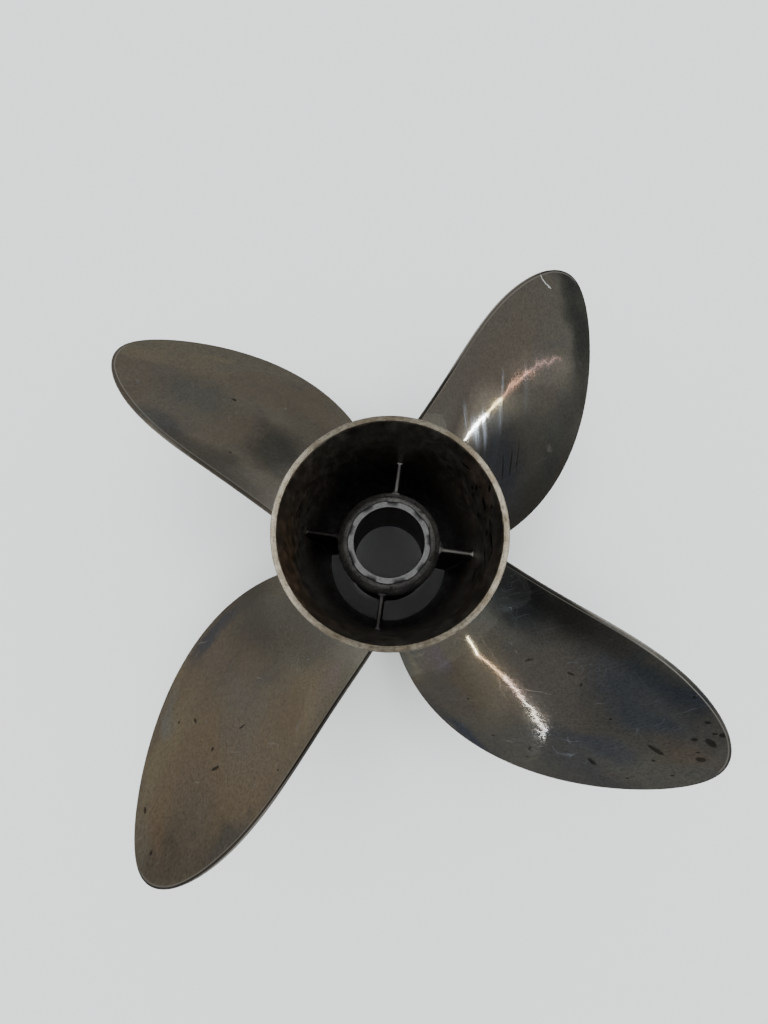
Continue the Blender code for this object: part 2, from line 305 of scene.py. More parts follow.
LIGHT_MARKS = {
    1: (((132.4, 34.4), (134.6, 39.0), 2.2),
        ((122.5, 35.7), (126.3, 37.1), 0.7),
        ((126.3, 37.1), (129.7, 39.9), 0.7),
        ((131.0, 21.9), (132.5, 27.1), 0.8),
        ((133.8, -50.5), (134.9, -48.8), 0.8)),
    2: (((78.9, 13.7), (77.9, 5.9), 0.9),
        ((77.9, 5.9), (81.4, -0.6), 0.9),
        ((84.3, -10.0), (88.8, -7.6), 0.9),
        ((88.8, -7.6), (97.8, -4.1), 0.7),
        ((78.5, 58.6), (76.4, 43.6), 1.5),
        ((83.9, 63.3), (87.2, 53.1), 1.5),
        ((87.2, 53.1), (90.7, 62.0), 1.2),
        ((92.9, 28.0), (104.9, 36.4), 0.8),
        ((117.4, -0.4), (128.0, -5.9), 0.7),
        ((136.3, 43.9), (141.8, 39.7), 0.7),
        ((109.2, 48.9), (113.0, 31.6), 0.6),
        ((105.7, 4.7), (119.0, 15.2), 0.6),
        ((100.5, -18.9), (101.5, -18.7), 1.3)),
    3: (((83.2, -46.3), (83.1, -46.6), 2.1),
        ((124.5, -43.6), (123.4, -48.2), 0.6),
        ((123.4, -48.2), (124.0, -51.5), 0.6),
        ((140.3, 56.7), (133.9, 50.8), 1.1),
        ((149.5, 52.8), (148.5, 53.9), 1.0),
        ((158.5, 1.4), (158.6, -2.4), 0.6),
        ((160.3, -8.9), (158.4, -10.5), 0.7),
        ((126.3, -53.9), (126.3, -54.4), 0.9),
        ((109.8, -20.2), (109.8, -20.6), 1.0),
        ((141.2, -19.3), (134.9, -30.3), 0.5),
        ((113.2, -2.7), (111.5, -11.2), 0.6)),
    4: (((131.7, -12.6), (131.6, -12.5), 2.0),
        ((124.8, 19.3), (124.8, 19.5), 1.7),
        ((133.1, 9.0), (133.1, 9.1), 1.1),
        ((96.6, -54.8), (96.6, -54.7), 1.0),
        ((105.2, 16.8), (105.2, 17.0), 1.3),
        ((144.6, 29.6), (144.6, 29.7), 1.0),
        ((119.7, 10.7), (114.6, 8.0), 0.6),
        ((131.3, -20.2), (127.5, -23.9), 0.6),
        ((183.2, 20.2), (181.2, 23.5), 0.8)),
}
# A painted highlight: the bright glint near blade 1's tip, where the tube light shows in the cup
GLINT_MARKS = {1: (((180.2, -29.2), (179.2, -26.2), 0.5),
                    ((179.2, -26.2), (179.4, -21.7), 0.5),
                    ((179.4, -21.7), (180.3, -17.6), 0.6))}
HAZE = {1: (((190.5, -12.0), (186.0, -9.0), 7.0),)}
# Brushed smears: as the patches, but with outlines that keep their place. The pale smears on blade 1 are
# partly real scratches and partly painted highlight, where the tube light's streak spreads over them.
SMEARS = {
    1: (((102.0, -48.5), (93.5, -35.5), 2.8, RUBBED_AND_SHEEN, 0.75),
        ((99.0, -33.0), (93.0, -17.0), 5.5, RUBBED_AND_SHEEN, 0.8),
        ((109.0, -34.0), (101.0, -22.5), 1.9, RUBBED_AND_SHEEN, 0.65),
        ((104.5, -26.0), (96.0, -10.5), 3.6, RUBBED_AND_SHEEN, 0.8),
        ((120.0, -25.0), (110.0, -10.5), 4.0, RUBBED_AND_SHEEN, 0.45),
        ((130.0, -32.0), (122.5, -25.0), 2.4, RUBBED_AND_SHEEN, 0.65),
        ((143.0, -18.0), (130.0, -2.0), 5.0, RUBBED_AND_SHEEN, 0.2),
        ((115.0, -22.0), (98.0, 4.0), 7.0, RUBBED_AND_SHEEN, 0.12)),
    2: (((80.6, -40.8), (83.6, -41.3), 5.0, RUBBED_AND_SHEEN, 0.05),
        ((86.9, -38.9), (87.6, -38.7), 3.6, RUBBED_AND_SHEEN, 0.06),
        ((85.0, -50.5), (88.0, -51.7), 8.2, RUBBED_AND_SHEEN, 0.04),
        ((92.0, 44.0), (86.0, 24.0), 5.0, RUBBED_AND_SHEEN, 0.12)),
    3: (((169.8, -22.0), (169.7, -22.2), 5.0, UMBER, 0.45),
        ((146.9, -50.2), (146.3, -50.8), 4.0, UMBER, 0.45)),
    4: (),
}
# How strongly the curling scratches show, how dark the bevel is painted (painted shade), how bright its
# crest is painted (painted highlight)
CURL_SHARE = {1: 0.14, 2: 0.3, 3: 0.14, 4: 0.14}
BEVEL_SHADE = {1: 0.87, 2: 0.45, 3: 0.95, 4: 0.25}
CREST_HIGHLIGHT = {1: 0.8, 2: 0.75, 3: 0.5, 4: 0.75}

# Stains inside the barrel: (azimuth in degrees, height in millimetres) at
# either end, then the width in millimetres
BARREL_STAINS = (
    ((50.3, 172.0), (55.2, 172.9), 1.6),
    ((45.4, 147.8), (46.8, 147.0), 1.2),
    ((63.3, 162.8), (63.6, 161.0), 1.6),
    ((64.6, 168.0), (66.0, 165.5), 2.0),
    ((66.7, 171.3), (67.0, 170.8), 1.4),
    ((66.7, 157.4), (67.2, 156.8), 1.6),
    ((70.6, 180.2), (71.6, 178.8), 2.0),
    ((73.2, 168.1), (79.0, 165.7), 2.8),
    ((79.6, 175.4), (80.4, 174.2), 1.5),
    ((78.6, 151.5), (79.4, 150.2), 2.0),
    ((86.3, 169.0), (88.7, 168.0), 1.9),
    ((91.4, 162.8), (93.4, 160.6), 2.4),
    ((93.0, 167.0), (103.5, 170.9), 2.4),
    ((103.5, 170.9), (109.3, 168.7), 1.8),
    ((94.4, 151.0), (95.4, 150.0), 1.8),
    ((101.0, 156.8), (106.5, 160.0), 2.2),
    ((106.5, 160.0), (112.4, 164.7), 1.6),
    ((106.8, 183.0), (107.8, 182.4), 1.4),
    ((113.0, 143.6), (120.0, 148.0), 3.0),
)
BARREL_SCRATCHES = (
    ((122.9, 153.4), (118.2, 162.6), 0.7),
    ((118.2, 162.6), (118.2, 174.5), 0.7),
    ((118.2, 174.5), (120.5, 183.0), 0.7),
    ((-120.6, 157.6), (-124.1, 154.4), 1.3),
    ((24.0, 171.0), (29.7, 173.5), 2.4),
    ((29.7, 173.5), (36.0, 179.0), 2.0),
    ((22.0, 160.0), (24.0, 171.0), 2.0),
)


class Shader:
    """Nodes of one material. Values are sockets or plain numbers."""

    def __init__(self, name):
        self.material = bpy.data.materials.new(name)
        self.material.use_nodes = True
        self.tree = self.material.node_tree
        self.surface = self.tree.nodes["Principled BSDF"]
        self.place = self.node("ShaderNodeTexCoord").outputs["Object"]

    def node(self, kind, **settings):
        made = self.tree.nodes.new(kind)
        for key, value in settings.items():
            setattr(made, key, value)
        return made

    def feed(self, socket, value):
        if isinstance(value, bpy.types.NodeSocket):
            self.tree.links.new(value, socket)
        elif socket.type == "RGBA":
            socket.default_value = (*value[:3], 1.0)
        else:
            socket.default_value = value

    def math(self, operation, *values, clamp=False):
        made = self.node("ShaderNodeMath", operation=operation, use_clamp=clamp)
        for socket, value in zip(made.inputs, values):
            self.feed(socket, value)
        return made.outputs[0]

    def vector_math(self, operation, *values):
        made = self.node("ShaderNodeVectorMath", operation=operation)
        for socket, value in zip(made.inputs, values):
            self.feed(socket, value)
        return made.outputs["Value" if operation == "LENGTH" else "Vector"]

    def vector(self, *values):
        made = self.node("ShaderNodeCombineXYZ")
        for socket, value in zip(made.inputs, values):
            self.feed(socket, value)
        return made.outputs[0]

    def attribute(self, name):
        return self.node("ShaderNodeAttribute", attribute_name=name).outputs["Fac"]

    def stretch(self, scale, place=None, turn=0.0):
        """Turn the place about Z, then scale it along each axis."""
        turned = self.node("ShaderNodeMapping")
        self.feed(turned.inputs["Vector"], place or self.place)
        turned.inputs["Rotation"].default_value[2] = math.radians(turn)
        return self.vector_math("MULTIPLY", turned.outputs[0], scale)

    def noise(self, scale, detail=4.0, roughness=0.55, warp=0.0, place=None):
        made = self.node("ShaderNodeTexNoise")
        self.feed(made.inputs["Vector"], place or self.place)
        made.inputs["Scale"].default_value = scale
        made.inputs["Detail"].default_value = detail
        made.inputs["Roughness"].default_value = roughness
        made.inputs["Distortion"].default_value = warp
        return made.outputs["Fac"]

    def wobble(self, place, scale, reach):
        """The place shifted a little by noise, to make outlines uneven."""
        made = self.node("ShaderNodeTexNoise")
        self.feed(made.inputs["Vector"], place)
        made.inputs["Scale"].default_value = scale
        made.inputs["Detail"].default_value = 3.0
        centred = self.vector_math("SUBTRACT", made.outputs["Color"], (0.5, 0.5, 0.5))
        shift = self.vector_math("MULTIPLY", centred, (reach, reach, 0.0))
        return self.vector_math("ADD", place, shift)

    def ease(self, value, low, high, start=0.0, end=1.0):
        """Map low..high smoothly to start..end and hold outside it."""
        made = self.node("ShaderNodeMapRange", interpolation_type="SMOOTHSTEP")
        for key, number in (("Value", value), ("From Min", low), ("From Max", high),
                            ("To Min", start), ("To Max", end)):
            self.feed(made.inputs[key], number)
        return made.outputs[0]

    def mix(self, share, first, second, blend="MIX"):
        made = self.node("ShaderNodeMix", data_type="RGBA", blend_type=blend)
        self.feed(made.inputs["Factor"], share)
        colours = [socket for socket in made.inputs if socket.type == "RGBA"]
        self.feed(colours[0], first)
        self.feed(colours[1], second)
        return [socket for socket in made.outputs if socket.type == "RGBA"][0]

    def shade(self, colour, share, low, high):
        """Multiply a colour by a grey that runs from low to high."""
        grey = self.ease(share, 0.0, 1.0, low, high)
        return self.mix(1.0, colour, self.vector(grey, grey, grey), "MULTIPLY")

    def stroke(self, place, start, end, width):
        """Distance from a straight mark: 0 on its middle line, 1 on its outline."""
        run = [b - a for a, b in zip(start, end)]
        made = self.node("ShaderNodeMapping", vector_type="TEXTURE")
        self.feed(made.inputs["Vector"], place)
        made.inputs["Location"].default_value = ((start[0] + end[0]) / 2.0,
                                                 (start[1] + end[1]) / 2.0, 0.0)
        made.inputs["Rotation"].default_value[2] = math.atan2(run[1], run[0])
        made.inputs["Scale"].default_value = ((math.hypot(*run) + width) / 2.0,
                                              width / 2.0, 1e6)
        return self.vector_math("LENGTH", made.outputs[0])

    def strokes(self, place, marks, soft):
        """A mask that is 1 inside any of the marks."""
        nearest = 9.0
        for start, end, width in marks:
            nearest = self.math("MINIMUM", self.stroke(place, start, end, width), nearest)
        return self.ease(nearest, 1.0 - soft, 1.0 + soft, 1.0, 0.0)

    def hairlines(self, place, turn, spacing, amount):
        """Thin broken scratches that run one way, as a mask."""
        fine = self.noise(1.0, 3.0, 0.6, 0.0,
                          self.stretch((0.02 / spacing, 1.0 / spacing, 1.0), place, turn))
        return self.ease(fine, 0.72 - amount, 0.78 - amount)

    def threads(self, place, scale, width):
        """Thin curling lines where a noise crosses its middle value, as a mask."""
        wave = self.noise(scale, 1.0, 0.5, 0.6, place)
        off = self.math("ABSOLUTE", self.math("SUBTRACT", wave, 0.5))
        return self.ease(off, 0.2 * width, width, 1.0, 0.0)

    def bump(self, height, distance, strength=1.0, under=None):
        made = self.node("ShaderNodeBump")
        self.feed(made.inputs["Height"], height)
        made.inputs["Distance"].default_value = distance
        made.inputs["Strength"].default_value = strength
        if under is not None:
            self.tree.links.new(under, made.inputs["Normal"])
        return made.outputs[0]

    def finish(self, colour, roughness, normal=None, metallic=1.0):
        self.feed(self.surface.inputs["Base Color"], colour)
        self.feed(self.surface.inputs["Roughness"], roughness)
        self.feed(self.surface.inputs["Metallic"], metallic)
        if normal is not None:
            self.tree.links.new(normal, self.surface.inputs["Normal"])
        return self.material


def grid_faces(rows, columns, wrap_rows, wrap_columns):
    """Quads over a grid of points numbered row by row."""
    i = np.arange(rows if wrap_rows else rows - 1)
    j = np.arange(columns if wrap_columns else columns - 1)
    a, b = np.meshgrid(i, j, indexing="ij")
    a2 = (a + 1) % rows
    b2 = (b + 1) % columns
    quads = np.stack([a * columns + b, a * columns + b2, a2 * columns + b2, a2 * columns + b], -1)
    return quads.reshape(-1, 4).tolist()


def add_piece(name, points, faces, materials, node):
    mesh = bpy.data.meshes.new(name)
    mesh.from_pydata(points.reshape(-1, 3).tolist(), [], faces)
    mesh.validate()
    mesh.shade_smooth()
    for material in materials:
        mesh.materials.append(material)
    piece = bpy.data.objects.new(name, mesh)
    bpy.context.scene.collection.objects.link(piece)
    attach(piece, "root")
    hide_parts(node)
    return piece


def add_attribute(piece, name, values):
    layer = piece.data.attributes.new(name, "FLOAT", "POINT")
    layer.data.foreach_set("value", np.asarray(values, np.float32).ravel())


def paint_faces(piece, choose):
    """Give each face the material number that choose returns for its centre."""
    for face in piece.data.polygons:
        centre = face.center
        face.material_index = choose(math.hypot(centre.x, centre.y), centre.z)


def arc(centre, radius, start, end, steps):
    angles = np.radians(np.linspace(start, end, steps + 1))
    return [(centre[0] + radius * math.cos(a), centre[1] + radius * math.sin(a)) for a in angles]


def fill_line(points, spacing):
    """Add points along a closed line so that none of its steps is longer than spacing."""
    filled = []
    for first, second in zip(points, points[1:] + points[:1]):
        steps = max(1, math.ceil(math.dist(first, second) / spacing))
        for i in range(steps):
            filled.append(tuple(a + (b - a) * i / steps for a, b in zip(first, second)))
    return filled


def smooth(value):
    value = np.clip(value, 0.0, 1.0)
    return value * value * (3.0 - 2.0 * value)


def blend_terms(coefficients, share):
    return sum(value * share ** power for power, value in enumerate(coefficients))


def turned_points(profile, steps):
    """Points of a profile spun about the shaft axis, azimuth running from +Y to +X."""
    angles = np.arange(steps) * TAU / steps
    profile = np.array(profile)
    radius = profile[:, 0][:, None]
    height = np.repeat(profile[:, 1][:, None], steps, 1)
    return np.stack([radius * np.sin(angles), radius * np.cos(angles), height], -1)


# Barrel

def wall_radii(height):
    """Inner and outer radius of the barrel at a height."""
    share = max(0.0, (height - HUB_LENGTH + RIM_FLARE_LENGTH) / RIM_FLARE_LENGTH)
    return (BARREL_INNER_RADIUS + (RIM_INNER_RADIUS - BARREL_INNER_RADIUS) * share ** 2,
            BARREL_RADIUS + (RIM_RADIUS - BARREL_RADIUS) * share ** 2)


def barrel_profile():
    """The closed outline of the barrel wall, up its outer side and down its inner side."""
    heights = np.linspace(HUB_LENGTH - RIM_FLARE_LENGTH, HUB_LENGTH - EDGE_ROUND, 24)
    outer = [(wall_radii(height)[1], height) for height in heights]
    inner = [(wall_radii(height)[0], height) for height in heights[::-1]]
    top = (arc((RIM_RADIUS - EDGE_ROUND, HUB_LENGTH - EDGE_ROUND), EDGE_ROUND, 15, 90, 5)
           + arc((RIM_INNER_RADIUS + EDGE_ROUND, HUB_LENGTH - EDGE_ROUND), EDGE_ROUND, 90, 165, 5))
    bottom = ([(BARREL_INNER_RADIUS, INNER_HUB_FRONT)]
              + arc((FRONT_INNER_RADIUS + EDGE_ROUND, EDGE_ROUND), EDGE_ROUND, 180, 270, 5)
              + arc((BARREL_RADIUS - EDGE_ROUND, EDGE_ROUND), EDGE_ROUND, 270, 360, 5))
    return fill_line(outer + top + inner + bottom, 3.0 * MM)


# Knocks in the aft rim: azimuth in degrees, radius, depth and half width
RIM_NICKS = ((-30.0, RIM_RADIUS, 0.7 * MM, 1.3 * MM),
             (84.0, RIM_INNER_RADIUS, 0.5 * MM, 1.0 * MM),
             (89.5, RIM_INNER_RADIUS, 0.5 * MM, 1.0 * MM),
             (-142.0, RIM_RADIUS, 0.4 * MM, 1.0 * MM),
             (151.0, RIM_RADIUS, 0.4 * MM, 1.6 * MM))


def add_barrel():
    profile = barrel_profile()
    points = turned_points(profile, BARREL_STEPS)
    for azimuth, radius, depth, reach in RIM_NICKS:
        angle = math.radians(azimuth)
        centre = np.array([radius * math.sin(angle), radius * math.cos(angle), HUB_LENGTH])
        gap = np.linalg.norm(points - centre, axis=-1)
        points[..., 2] -= depth * smooth(1.0 - gap / reach)
    faces = grid_faces(len(profile), BARREL_STEPS, True, True)
    piece = add_piece("barrel", points, faces,
                      [outside_metal(), rim_metal(), inside_metal()], "outer_hub")

    def choose(radius, height):
        if height > HUB_LENGTH - 1.2 * EDGE_ROUND or height < EDGE_ROUND:
            return 1
        return 2 if radius < sum(wall_radii(height)) / 2.0 else 0

    paint_faces(piece, choose)
    return piece


# Inner hub

def add_inner_hub():
    shoulder_top = INNER_HUB_AFT - LAND_HEIGHT
    centre = (INNER_HUB_AFT_RADIUS - SHOULDER_RADIUS, shoulder_top - SHOULDER_RADIUS)
    lip_front = INNER_HUB_AFT - BORE_LIP_LENGTH
    small = 0.4 * MM
    # Round the bore's edge, over the land, down into a groove and up to the shoulder
    land = (arc((BORE_LIP_RADIUS + small, INNER_HUB_AFT - small), small, 180, 90, 4)
            + [(BORE_LIP_RADIUS + step * MM, INNER_HUB_AFT) for step in (0.9, 1.4, 1.9, 2.4, 2.9)]
            + [(LAND_RADIUS - small, INNER_HUB_AFT),
               (LAND_RADIUS - 0.1 * MM, INNER_HUB_AFT - 0.1 * MM),
               (LAND_RADIUS, shoulder_top - 0.1 * MM),
               (LAND_RADIUS + 0.3 * MM, shoulder_top - 0.35 * MM),
               (LAND_RADIUS + 0.7 * MM, shoulder_top - 0.1 * MM)])
    shoulder = arc(centre, SHOULDER_RADIUS, 82, 0, 12)
    ends = (arc((INNER_HUB_FRONT_RADIUS - small, INNER_HUB_FRONT + small), small, 0, -90, 4)
            + arc((SEAT_FRONT_RADIUS + small, INNER_HUB_FRONT + small), small, 270, 180, 4))
    seat = [(SEAT_AFT_RADIUS, lip_front - (SEAT_AFT_RADIUS - BORE_LIP_RADIUS)),
            (BORE_LIP_RADIUS, lip_front)]
    profile = np.array(fill_line((land + shoulder + ends + seat)[::-1], 2.5 * MM))
    points = turned_points(profile, INNER_STEPS)
    # The land runs out on the cast shoulder in shallow lobes and dips between them
    angles = np.arange(INNER_STEPS) * TAU / INNER_STEPS
    uneven = 0.25 * np.sin(2.0 * angles + 1.0) + 0.2 * np.sin(5.0 * angles)
    lobes = np.cos(LAND_LOBES * (angles + math.radians(LAND_TURN)) + uneven)
    near = 1.0 - np.abs(profile[:, 0] - LAND_RADIUS) / (2.2 * MM)
    share = smooth(near * 1.6) * (profile[:, 1] > shoulder_top - 1.5 * MM)
    wave = LAND_WAVE * (lobes + uneven)
    points[..., 0] += share[:, None] * wave * np.sin(angles)
    points[..., 1] += share[:, None] * wave * np.cos(angles)
    outward = np.clip((profile[:, 0] - BORE_LIP_RADIUS) / (LAND_RADIUS - BORE_LIP_RADIUS), 0.0, 1.0)
    outward = outward * (profile[:, 1] > shoulder_top + 0.02 * MM)
    dips = outward[:, None] * smooth((0.25 - lobes) / 1.0)
    points[..., 2] -= LAND_DIP * dips
    faces = grid_faces(len(profile), INNER_STEPS, True, True)
    piece = add_piece("hub_core", points, faces, [cast_metal(), land_metal(), bore_metal()],
                      "inner_hub")

    def choose(radius, height):
        if height > shoulder_top + 0.02 * MM:
            return 1
        return 2 if radius < SEAT_FRONT_RADIUS and height < shoulder_top - small else 0

    paint_faces(piece, choose)
    add_attribute(piece, "dip", dips)
    return piece


# Webs

def add_web(number, azimuth, material):
    """A plate with a fillet where it runs into each wall, its aft edge slightly rounded."""
    inner_aft = INNER_HUB_AFT_RADIUS - 1.2 * MM
    inner_front = INNER_HUB_FRONT_RADIUS - 0.8 * MM
    outer = BARREL_INNER_RADIUS + 0.6 * MM
    columns = 28
    share = 0.5 - 0.5 * np.cos(np.linspace(0.0, math.pi, columns))
    tucks = np.array([0.0, 0.12, 0.45, 1.0])
    levels = np.concatenate([np.linspace(0.0, 0.99, 26), 0.99 + 0.01 * tucks[1:]])
    front = np.array([INNER_HUB_FRONT + 0.6 * MM, WEB_FRONT])
    loops = []
    for level in levels:
        inner = inner_front + (inner_aft - inner_front) * level
        radius = inner + (outer - inner) * share
        bottom = front[0] + (front[1] - front[0]) * share
        height = bottom + (WEB_AFT - bottom) * level
        from_wall = np.minimum(radius - inner - 1.2 * MM, outer - 0.6 * MM - radius)
        reach = 1.0 - np.clip(from_wall / WEB_FILLET, 0.0, 1.0)
        half = WEB_THICKNESS / 2.0 + WEB_FILLET * (1.0 - np.sqrt(1.0 - reach ** 2))
        half = half - 0.7 * MM * max(0.0, (level - 0.99) / 0.01) ** 2
        right = np.stack([half, radius, height], -1)
        left = np.stack([-half, radius, height], -1)[::-1]
        loops.append(np.concatenate([right, left]))
    points = np.array(loops)
    count = 2 * columns
    faces = grid_faces(len(levels), count, False, True)
    last = (len(levels) - 1) * count
    for i in range(columns - 1):
        faces.append([last + i, last + i + 1, last + count - 2 - i, last + count - 1 - i])
        faces.append([i + 1, i, count - 1 - i, count - 2 - i])
    turn = np.array(Matrix.Rotation(-math.radians(azimuth), 3, "Z"))
    points = points @ turn.T
    return add_piece("web_plate_%d" % number, points, faces, [material],
                     "web_%d" % number)


# Blades

def blade_form(radius):
    """Share of the span, chord, mid-chord azimuth, height and slope at each radius."""
    share = (radius - ROOT_REFERENCE) / (TIP_RADIUS - ROOT_REFERENCE)
    pitch = PITCH_ROOT + PITCH_RISE * share ** 3
    chord = CHORD_ROOT * np.sqrt(np.maximum(1.0 - share ** 2, 0.0)) * blend_terms(CHORD_SHAPE, share)
    azimuth = np.radians(blend_terms(SKEW_LINE, share))
    height = HUB_LENGTH + blend_terms(RAKE_LINE, share)
    height = height - pitch * (azimuth - math.radians(RAKE_AZIMUTH)) / TAU
    slope = np.arctan2(pitch, TAU * radius)
    return share, chord, azimuth, height, slope


def blade_place(radius, run, rise, turn):
    """World points from a run along the chord and a rise off it."""
    _, _, azimuth, height, slope = blade_form(radius)
    around = run * np.cos(slope) + rise * np.sin(slope)
    axial = rise * np.cos(slope) - run * np.sin(slope)
    angle = azimuth + around / radius + turn
    return np.stack([radius * np.sin(angle), radius * np.cos(angle), height + axial], -1)


def face_rise(radius, along, chord):
    """How far the pressure face lies off the chord line, with the cup at the trailing edge."""
    outward = smooth((radius - BARREL_RADIUS) / CUP_REACH)
    width = CUP_ROOT_WIDTH + (CUP_WIDTH - CUP_ROOT_WIDTH) * outward
    cup = EDGE_DROP + (CUP_DEPTH - EDGE_DROP) * smooth(along * chord / width)
    return -cup * np.minimum(1.0, chord / FULL_CUP_CHORD) * (1.0 - along)


def blade_radii():
    root = BARREL_RADIUS
    low = np.linspace(root - 1.2 * MM, root, 3)[:-1]
    fillet = root + ROOT_FILLET * (1.0 - np.cos(np.linspace(0.0, math.pi / 2.0, 12)))[:-1]
    first = math.asin((root + ROOT_FILLET - ROOT_REFERENCE) / (TIP_RADIUS - ROOT_REFERENCE))
    share = np.sin(np.linspace(first, math.pi / 2.0, SPAN_STEPS))
    share[-1] = 0.999999
    rest = ROOT_REFERENCE + (TIP_RADIUS - ROOT_REFERENCE) * share
    return np.concatenate([low, fillet, rest])


def edge_distance(radius, run, chord):
    """Distance of each point of the blade from the nearest point of its free edge."""
    side = np.concatenate([-chord, chord[::-1]])[:, 0] / 2.0
    edge_radius = np.concatenate([radius, radius[::-1]])[:, 0]
    edge = np.stack([edge_radius, side], -1)
    points = np.stack([radius + 0.0 * run, run], -1).reshape(-1, 2)
    first = edge[:-1]
    step = edge[1:] - first
    length = np.maximum((step ** 2).sum(-1), 1e-18)
    best = np.full(len(points), 1e9)
    for origin, along, size in zip(first, step, length):
        share = np.clip((points - origin) @ along / size, 0.0, 1.0)
        gap = points - origin - share[:, None] * along
        best = np.minimum(best, (gap ** 2).sum(-1))
    return np.sqrt(best).reshape(run.shape)


def add_blade(number, azimuth, material):
    """Face columns from trailing to leading edge, the edge, back columns, the other edge."""
    radius = blade_radii()[:, None]
    share, chord, _, _, _ = blade_form(radius)
    lift = np.clip((radius - BARREL_RADIUS) / ROOT_FILLET, 0.0, 1.0)
    flare = ROOT_FILLET * (1.0 - np.sqrt(1.0 - (1.0 - lift) ** 2))
    length = chord + 2.0 * flare
    along = 0.5 - 0.5 * np.cos(np.linspace(0.0, math.pi, CHORD_STEPS + 1))[None, :]
    run = (along - 0.5) * length
    from_end = (0.5 - np.abs(along - 0.5)) * length
    reach = 1.0 - np.minimum(from_end / ROOT_FILLET, 1.0)
    swell = flare * np.sqrt(1.0 - reach ** 2)
    edge_gap = edge_distance(radius, run, length)
    thickest = THICKNESS_TIP + THICKNESS_GAIN * (1.0 - share)
    edge = TRAILING_THICKNESS + (LEADING_THICKNESS - TRAILING_THICKNESS) * along
    body = (thickest - edge) * (4.0 * along * (1.0 - along)) ** 0.8
    corner = np.minimum(BLADE_EDGE_ROUND, 0.45 * edge)
    bite = 1.0 - np.clip(edge_gap / corner, 0.0, 1.0)
    tuck = corner * (1.0 - np.sqrt(1.0 - bite ** 2))
    slim = np.minimum(1.0, chord / FULL_CUP_CHORD) * smooth((0.6 - along) / 0.3)
    bevel_width = BEVEL_WIDTH[number] * np.clip(chord / FULL_BEVEL_CHORD, 0.5, 1.0)
    bevel = BEVEL_SLOPE * slim * np.maximum(0.0, bevel_width - edge_gap)
    top = face_rise(radius, along, chord)
    face = top + swell - np.maximum(tuck, bevel)
    back = top - edge - body - swell + tuck

    order = np.arange(CHORD_STEPS + 1)
    across = np.arange(1, EDGE_ROWS + 1) / (EDGE_ROWS + 1.0)
    columns = np.concatenate([order, np.full(EDGE_ROWS, CHORD_STEPS), order[::-1],
                              np.full(EDGE_ROWS, 0)])
    side = np.concatenate([np.ones(len(order)), 1.0 - across, np.zeros(len(order)), across])
    rise = back[:, columns] + (face - back)[:, columns] * side
    points = blade_place(radius, run[:, columns], rise, math.radians(azimuth))

    rows, count = points.shape[:2]
    faces = grid_faces(rows, count, False, True)
    back_end = 2 * len(order) + EDGE_ROWS - 1
    for first, outward in ((0, True), ((rows - 1) * count, False)):
        caps = [[first + i, first + i + 1, first + back_end - i - 1, first + back_end - i]
                for i in range(CHORD_STEPS)]
        caps.append([first + i for i in range(CHORD_STEPS, len(order) + EDGE_ROWS + 1)])
        caps.append([first] + [first + i for i in range(back_end, count)])
        faces += [cap if outward else cap[::-1] for cap in caps]
    piece = add_piece("blade_skin_%d" % number, points, faces, [material],
                      "blade_%d" % number)
    whole = np.ones((rows, 1))
    add_attribute(piece, "edge_mm", edge_gap[:, columns] / MM)
    add_attribute(piece, "off_bevel_mm", (edge_gap - bevel_width)[:, columns] / MM)
    add_attribute(piece, "side", whole * side)
    add_attribute(piece, "along", whole * along[0, columns])
    add_attribute(piece, "run_mm", run[:, columns] / MM)
    add_attribute(piece, "radius_mm", np.repeat(radius, count, 1) / MM)
    # The tarnished faces show no clear mirror image of one another
    piece.visible_glossy = False
    return piece


# Materials

def flip(marks):
    """Marks given as (radius, run) turned into the (run, radius) of the blade's texture."""
    return [((start[1], start[0]), (end[1], end[0]), width) for start, end, width in marks]


